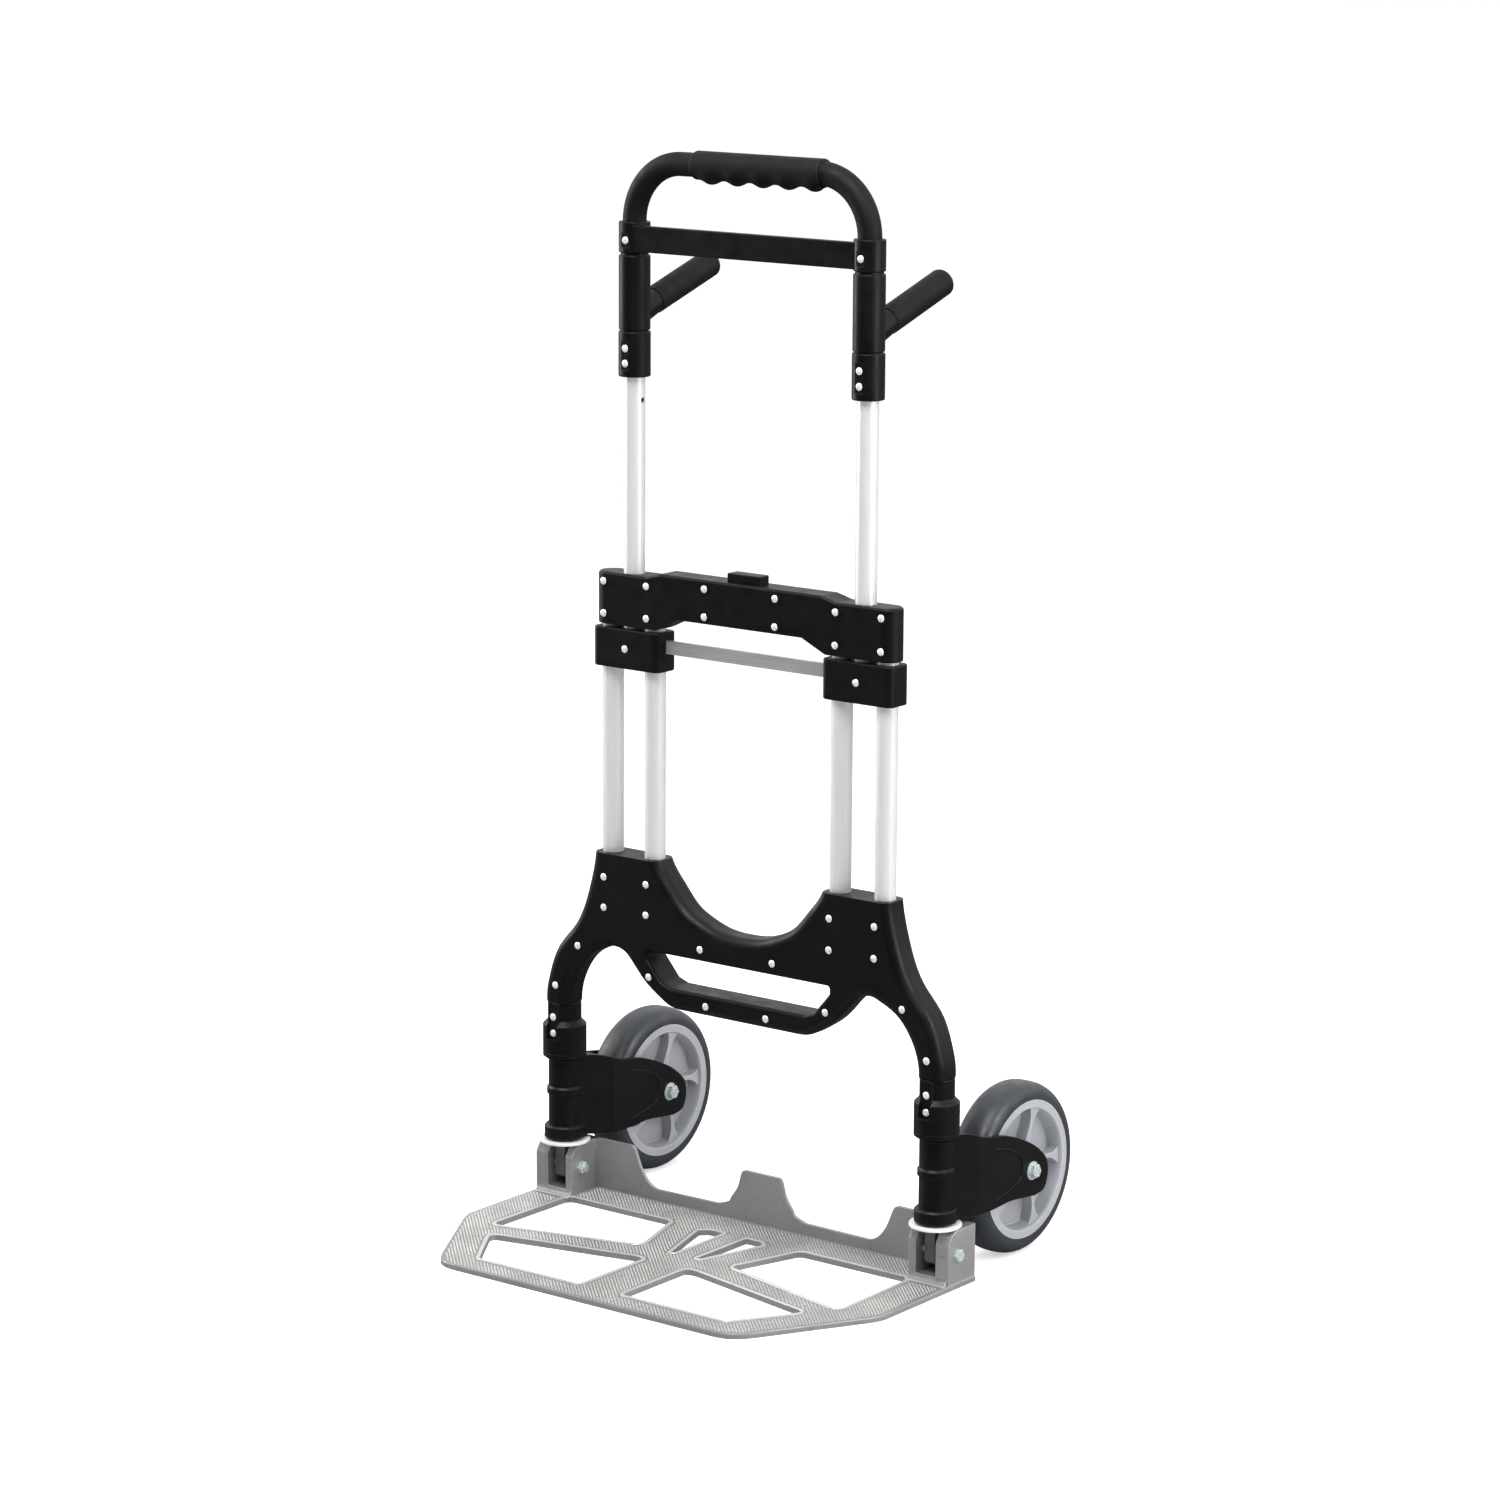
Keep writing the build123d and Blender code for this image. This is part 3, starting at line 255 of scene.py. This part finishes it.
def tread_top():
    """The diamonds of the tread, rubbed brighter than the plate between them."""
    paint = Paint("tread_top", (0.66, 0.655, 0.64), 0.32, metallic=0.5)
    paint.patches(22, 4, (0.4, 0.65), 0.7, (0.46, 0.455, 0.445))
    paint.polish(300, 3, 0.24, 0.42)
    return paint.material


def grey_post():
    """Dull grey casting."""
    paint = Paint("grey_post", (0.2, 0.2, 0.185), 0.5, metallic=0.7)
    paint.polish(150, 3, 0.4, 0.6)
    paint.grain(500, 3, 0.1 * MM, 0.4)
    return paint.material


def rivet():
    """Bright steel with darker marks on the domes."""
    paint = Paint("rivet", (0.86, 0.89, 0.92), 0.34, metallic=0.35)
    paint.polish(700, 3, 0.26, 0.42)
    paint.patches(320, 3, (0.52, 0.7), 0.6, (0.42, 0.44, 0.46))
    paint.grain(1200, 2, 0.05 * MM, 0.4)
    return paint.material


def zinc_bolt():
    """Blue-white zinc plating."""
    paint = Paint("zinc_bolt", (0.66, 0.75, 0.79), 0.3, metallic=0.5)
    paint.patches(220, 3, (0.45, 0.7), 0.7, (0.72, 0.78, 0.76))
    paint.polish(500, 3, 0.18, 0.36)
    paint.grain(1500, 2, 0.04 * MM, 0.4)
    return paint.material


def white_washer():
    """White plastic, a little soiled."""
    paint = Paint("white_washer", (0.82, 0.84, 0.85), 0.3)
    paint.patches(90, 4, (0.5, 0.75), 0.5, (0.62, 0.66, 0.68))
    paint.grain(600, 2, 0.05 * MM, 0.3)
    return paint.material


def tyre():
    """Smooth dark rubber with faint brownish scuffs."""
    paint = Paint("tyre", (0.03, 0.035, 0.041), 0.34, specular=0.6)
    paint.polish(60, 5, 0.32, 0.52)
    paint.patches(26, 6, (0.5, 0.72), 0.55, (0.06, 0.06, 0.062))
    paint.patches(40, 6, (0.6, 0.74), 0.35, (0.085, 0.07, 0.052), roughness=0.7)
    paint.grain(350, 4, 0.1 * MM, 0.35)
    return paint.material


def grey_rim():
    """Grey moulded plastic with bright edges, partly wear and partly painted highlight."""
    paint = Paint("grey_rim", (0.36, 0.37, 0.4), 0.36)
    paint.soft_edges(1.2 * MM)
    # bright edges: partly wear, partly painted highlight
    paint.edge_wear_and_sheen(1.6 * MM, 0.82, (0.86, 0.87, 0.9))
    paint.polish(90, 4, 0.36, 0.5)
    paint.patches(12, 4, (0.4, 0.7), 0.5, (0.42, 0.43, 0.46))
    paint.grain(900, 2, 0.05 * MM, 0.3)
    return paint.material


def bearing():
    """Ground steel."""
    paint = Paint("bearing", (0.5, 0.5, 0.5), 0.3, metallic=1.0)
    paint.polish(400, 3, 0.2, 0.4)
    return paint.material


def nylon_bush():
    """Natural nylon."""
    paint = Paint("nylon_bush", (0.7, 0.7, 0.66), 0.4)
    paint.grain(400, 3, 0.06 * MM, 0.3)
    return paint.material


def spring_wire():
    """Bright spring steel."""
    paint = Paint("spring_wire", (0.6, 0.6, 0.6), 0.25, metallic=1.0)
    paint.polish(900, 2, 0.2, 0.34)
    return paint.material


MATERIALS = {make.__name__: make() for make in (
    black_shell, black_grip, bright_tube, brushed_bar, cast_plate, tread_top, grey_post, rivet,
    zinc_bolt, white_washer, tyre, grey_rim, bearing, nylon_bush, spring_wire)}


def paint_cad_nodes():
    """Gives every carried-over node the material named by its record slot."""
    for entry in frame["record"]["subparts"]:
        materials = nodes[entry["node"]].data.materials
        materials.clear()
        materials.append(MATERIALS[entry["material_slot"]])


def squash_spring():
    """Gives the spring under the button its own copy of its mesh."""
    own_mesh(nodes["button_spring"])


# ---------------------------------------------------------------- refined pieces
def add_to_scene(name, data):
    made = bpy.data.objects.new(name, data)
    bpy.context.scene.collection.objects.link(made)
    return made


def add_piece(name, data, material, body):
    """A new piece that rides on a body and takes a material slot of the record."""
    piece = add_to_scene(name, data)
    data.materials.append(MATERIALS[material])
    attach(piece, body)
    return piece


def make_mesh(name, vertices, faces, smooth):
    mesh = bpy.data.meshes.new(name)
    mesh.from_pydata(vertices, [], faces)
    mesh.validate()
    mesh.update()
    mesh.polygons.foreach_set("use_smooth", [smooth] * len(mesh.polygons))
    return mesh


TREAD_PITCH = 5.2 * MM
TREAD_ROW = 2.6 * MM
TREAD_MARGIN = 3.2 * MM
MARGIN_PROBES = 8
DOT_BASE = 1.5 * MM
DOT_TOP = 0.75 * MM
DOT_HEIGHT = 0.75 * MM
DOT_SUNK = 0.1 * MM
FLAT_TOLERANCE = 0.05 * MM
PROBE_CLEARANCE = 10 * MM
SOLID_SPOT_Y = -10 * MM


def tread_dots():
    """Rows of small raised diamonds wherever the plate's top is flat, clear of its edges."""
    plate = nodes["toe_plate"]
    tree = BVHTree.FromObject(plate, bpy.context.evaluated_depsgraph_get())
    low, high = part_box("toe_plate")

    def hit_below(x, y):
        return tree.ray_cast(Vector((x, y, high.z + PROBE_CLEARANCE)), DOWN)[0]

    top_z = hit_below(0, SOLID_SPOT_Y).z

    def is_flat(x, y):
        hit = hit_below(x, y)
        return hit is not None and abs(hit.z - top_z) < FLAT_TOLERANCE

    turns = [2 * math.pi * k / MARGIN_PROBES for k in range(MARGIN_PROBES)]
    margin = [(math.cos(turn) * TREAD_MARGIN, math.sin(turn) * TREAD_MARGIN) for turn in turns]
    vertices, faces = [], []
    for row in range(int((high.y - low.y) / TREAD_ROW)):
        y = low.y + row * TREAD_ROW
        for column in range(int((high.x - low.x) / TREAD_PITCH)):
            x = low.x + (column + 0.5 * (row % 2)) * TREAD_PITCH
            if not is_flat(x, y) or not all(is_flat(x + dx, y + dy) for dx, dy in margin):
                continue
            first = len(vertices)
            for r, z in ((DOT_BASE, top_z - DOT_SUNK), (DOT_TOP, top_z + DOT_HEIGHT)):
                vertices += [(x + r, y, z), (x, y + r, z), (x - r, y, z), (x, y - r, z)]
            faces.append([first + 3, first + 2, first + 1, first])
            faces.append([first + 4, first + 5, first + 6, first + 7])
            for k in range(4):
                after = (k + 1) % 4
                faces.append([first + k, first + after, first + 4 + after, first + 4 + k])
    mesh = make_mesh("toe_plate_tread", vertices, faces, smooth=False)
    add_piece("toe_plate_tread", mesh, "tread_top", "toe_plate")


GRIP_LENGTH = 180 * MM
GRIP_RINGS = 220
GRIP_SIDES = 72
END_STEP = 1.2 * MM
END_BEAD = 1.6 * MM
END_FADE = 8 * MM
BORE_OVERLAP = 0.4 * MM
BUMPS = 5
BUMP_DEPTH = 4.7 * MM
FIRST_BUMP = 22 * MM
BUMP_PITCH = GRIP_LENGTH / (BUMPS - 0.04)


def finger_grip():
    """The handle grip as one smooth moulding with finger bumps below and rounded ends."""
    low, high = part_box("handle_grip")
    bow_low, bow_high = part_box("bow_cover")
    start = low.x
    outer = (high.y - low.y) / 2
    inner = (bow_high.y - bow_low.y) / 2 - BORE_OVERLAP
    axis_z = high.z - outer
    vertices = []

    def ring(x, radius, bump):
        for k in range(GRIP_SIDES):
            turn = 2 * math.pi * k / GRIP_SIDES
            r = radius + bump * max(0.0, -math.sin(turn)) ** 1.6
            vertices.append((x, r * math.cos(turn), axis_z + r * math.sin(turn)))

    ring(start, inner, 0)
    ring(start, outer - END_STEP, 0)
    for i in range(GRIP_RINGS + 1):
        along = i / GRIP_RINGS
        x = start + along * GRIP_LENGTH
        edge = min(along, 1 - along) * GRIP_LENGTH
        rounding = END_STEP * max(0.0, 1 - edge / END_BEAD) ** 2
        wave = 0.5 + 0.5 * math.cos(2 * math.pi * (x - start - FIRST_BUMP) / BUMP_PITCH)
        ring(x, outer - rounding, BUMP_DEPTH * wave ** 1.35 * min(1.0, edge / END_FADE))
    ring(start + GRIP_LENGTH, outer - END_STEP, 0)
    ring(start + GRIP_LENGTH, inner, 0)

    last = len(vertices) - GRIP_SIDES
    faces = []
    for first in range(0, last, GRIP_SIDES):
        for k in range(GRIP_SIDES):
            a, b = first + k, first + (k + 1) % GRIP_SIDES
            faces.append([a, b, b + GRIP_SIDES, a + GRIP_SIDES])
    faces.append(list(range(GRIP_SIDES))[::-1])
    faces.append(list(range(last, last + GRIP_SIDES)))
    mesh = make_mesh("finger_grip", vertices, faces, smooth=True)
    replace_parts(add_piece("finger_grip", mesh, "black_grip", "handle"), "handle_grip")


# (y, z) in mm along the line on a bracket's cheek
LINE_POINTS = ((80, 145), (100, 141.5), (118, 135.5), (131, 127), (138, 118), (139, 108),
               (135, 97), (124, 91.5), (104, 87), (82, 84))
LINE_RADIUS = 1.0 * MM
BRACKET_HALF = 31 * MM


def bracket_lines():
    """A fine raised line moulded on both outer faces of each wheel bracket."""
    for side in ("left", "right"):
        low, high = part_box(f"tyre_{side}")
        centre_x = (low.x + high.x) / 2
        for number, face_x in enumerate((centre_x - BRACKET_HALF, centre_x + BRACKET_HALF)):
            name = f"bracket_line_{side}_{number}"
            curve = bpy.data.curves.new(name, "CURVE")
            curve.dimensions = "3D"
            curve.bevel_depth = LINE_RADIUS
            curve.bevel_resolution = 2
            curve.resolution_u = 10
            curve.use_fill_caps = True
            spline = curve.splines.new("NURBS")
            spline.points.add(len(LINE_POINTS) - 1)
            for point, (y, z) in zip(spline.points, LINE_POINTS):
                point.co = (face_x, y * MM, z * MM, 1.0)
            spline.use_endpoint_u = True
            spline.order_u = 4
            add_piece(name, curve, "black_shell", f"wheel_bracket_{side}")


# ---------------------------------------------------------------- floor, light and camera
FLOOR_HALF = 30
FLOOR_GLOW = 0.5
FLOOR_MIRRORED = 0.12
ROOM_DIM = 0.035
TOWARD_CAMERA = (0.0, -0.99, 0.12)


def lay_floor():
    """A pale floor, bright to the camera but dim in reflections, so black parts stay black."""
    corners = [(-FLOOR_HALF, -FLOOR_HALF, 0), (FLOOR_HALF, -FLOOR_HALF, 0),
               (FLOOR_HALF, FLOOR_HALF, 0), (-FLOOR_HALF, FLOOR_HALF, 0)]
    floor = add_to_scene("floor", make_mesh("floor", corners, [(0, 1, 2, 3)], smooth=False))
    pale = Paint("floor", (0.9, 0.9, 0.9), 0.8, specular=0.1)
    ray = pale.node("ShaderNodeLightPath")
    pale.tint(ray.outputs["Is Glossy Ray"], (FLOOR_MIRRORED,) * 3)
    pale.set("Emission Color", WHITE)
    glow = pale.remap(ray.outputs["Is Camera Ray"], 0.0, 1.0, 0.0, FLOOR_GLOW)
    pale.link(glow, pale.shader.inputs["Emission Strength"])
    floor.data.materials.append(pale.material)


def light_world():
    """White all round, falling off to a dim room behind the camera, which itself sees white."""
    world = bpy.data.worlds.new("studio")
    world.use_nodes = True
    sky = Nodes(world.node_tree)
    background = sky.tree.nodes["Background"]
    background.inputs["Color"].default_value = WHITE
    facing = sky.node("ShaderNodeVectorMath", operation="DOT_PRODUCT")
    facing.inputs[1].default_value = TOWARD_CAMERA
    sky.link(sky.node("ShaderNodeTexCoord").outputs["Generated"], facing.inputs[0])
    dimmed = sky.remap(facing.outputs["Value"], -0.25, 0.62, 1.0, ROOM_DIM,
                       interpolation_type="SMOOTHSTEP")
    seen = sky.node("ShaderNodeLightPath").outputs["Is Camera Ray"]
    sky.link(sky.math("MAXIMUM", seen, dimmed), background.inputs["Strength"])
    bpy.context.scene.world = world
    bpy.context.scene.view_settings.view_transform = "Standard"


# name, place and aim in metres, width and height in metres, power in watts
SOFTBOXES = (
    ("key", (0.4, -1.6, 3.4), (0, 0, 0.6), (2.2, 1.4), 110),
    ("left", (-3.0, -0.6, 1.6), (0, 0, 0.7), (1.0, 2.4), 60),
    ("right", (3.0, 0.2, 1.8), (0, 0, 0.6), (1.0, 2.4), 60),
)


def hang_softboxes():
    for name, place, aim, (width, height), power in SOFTBOXES:
        light = bpy.data.lights.new(name, "AREA")
        light.shape = "RECTANGLE"
        light.size = width
        light.size_y = height
        light.energy = power
        lamp = add_to_scene(name, light)
        lamp.location = place
        lamp.rotation_euler = (Vector(aim) - Vector(place)).to_track_quat("-Z", "Y").to_euler()


CAMERA_AZIMUTH = 37.29
CAMERA_ELEVATION = 11.70
CAMERA_ROLL = 0.34
CAMERA_PLACE = (3.1464, -4.1262, 1.6612)
FOCAL_LENGTH = 110.43
SENSOR_WIDTH = 36.0


def photo_camera():
    """A camera at the photograph's viewing angle."""
    azimuth = math.radians(CAMERA_AZIMUTH)
    elevation = math.radians(CAMERA_ELEVATION)
    roll = math.radians(CAMERA_ROLL)
    level = Vector((math.cos(azimuth), math.sin(azimuth), 0))
    forward = Vector((-math.sin(azimuth) * math.cos(elevation),
                      math.cos(azimuth) * math.cos(elevation), -math.sin(elevation)))
    right = level * math.cos(roll) + level.cross(forward) * math.sin(roll)
    up = right.cross(forward)
    data = bpy.data.cameras.new("camera")
    data.lens = FOCAL_LENGTH
    data.sensor_width = SENSOR_WIDTH
    camera = add_to_scene("camera", data)
    turn = Matrix((right, up, -forward)).transposed()
    camera.matrix_world = Matrix.Translation(CAMERA_PLACE) @ turn.to_4x4()
    bpy.context.scene.camera = camera


paint_cad_nodes()
squash_spring()
tread_dots()
finger_grip()
bracket_lines()
lay_floor()
light_world()
hang_softboxes()
photo_camera()
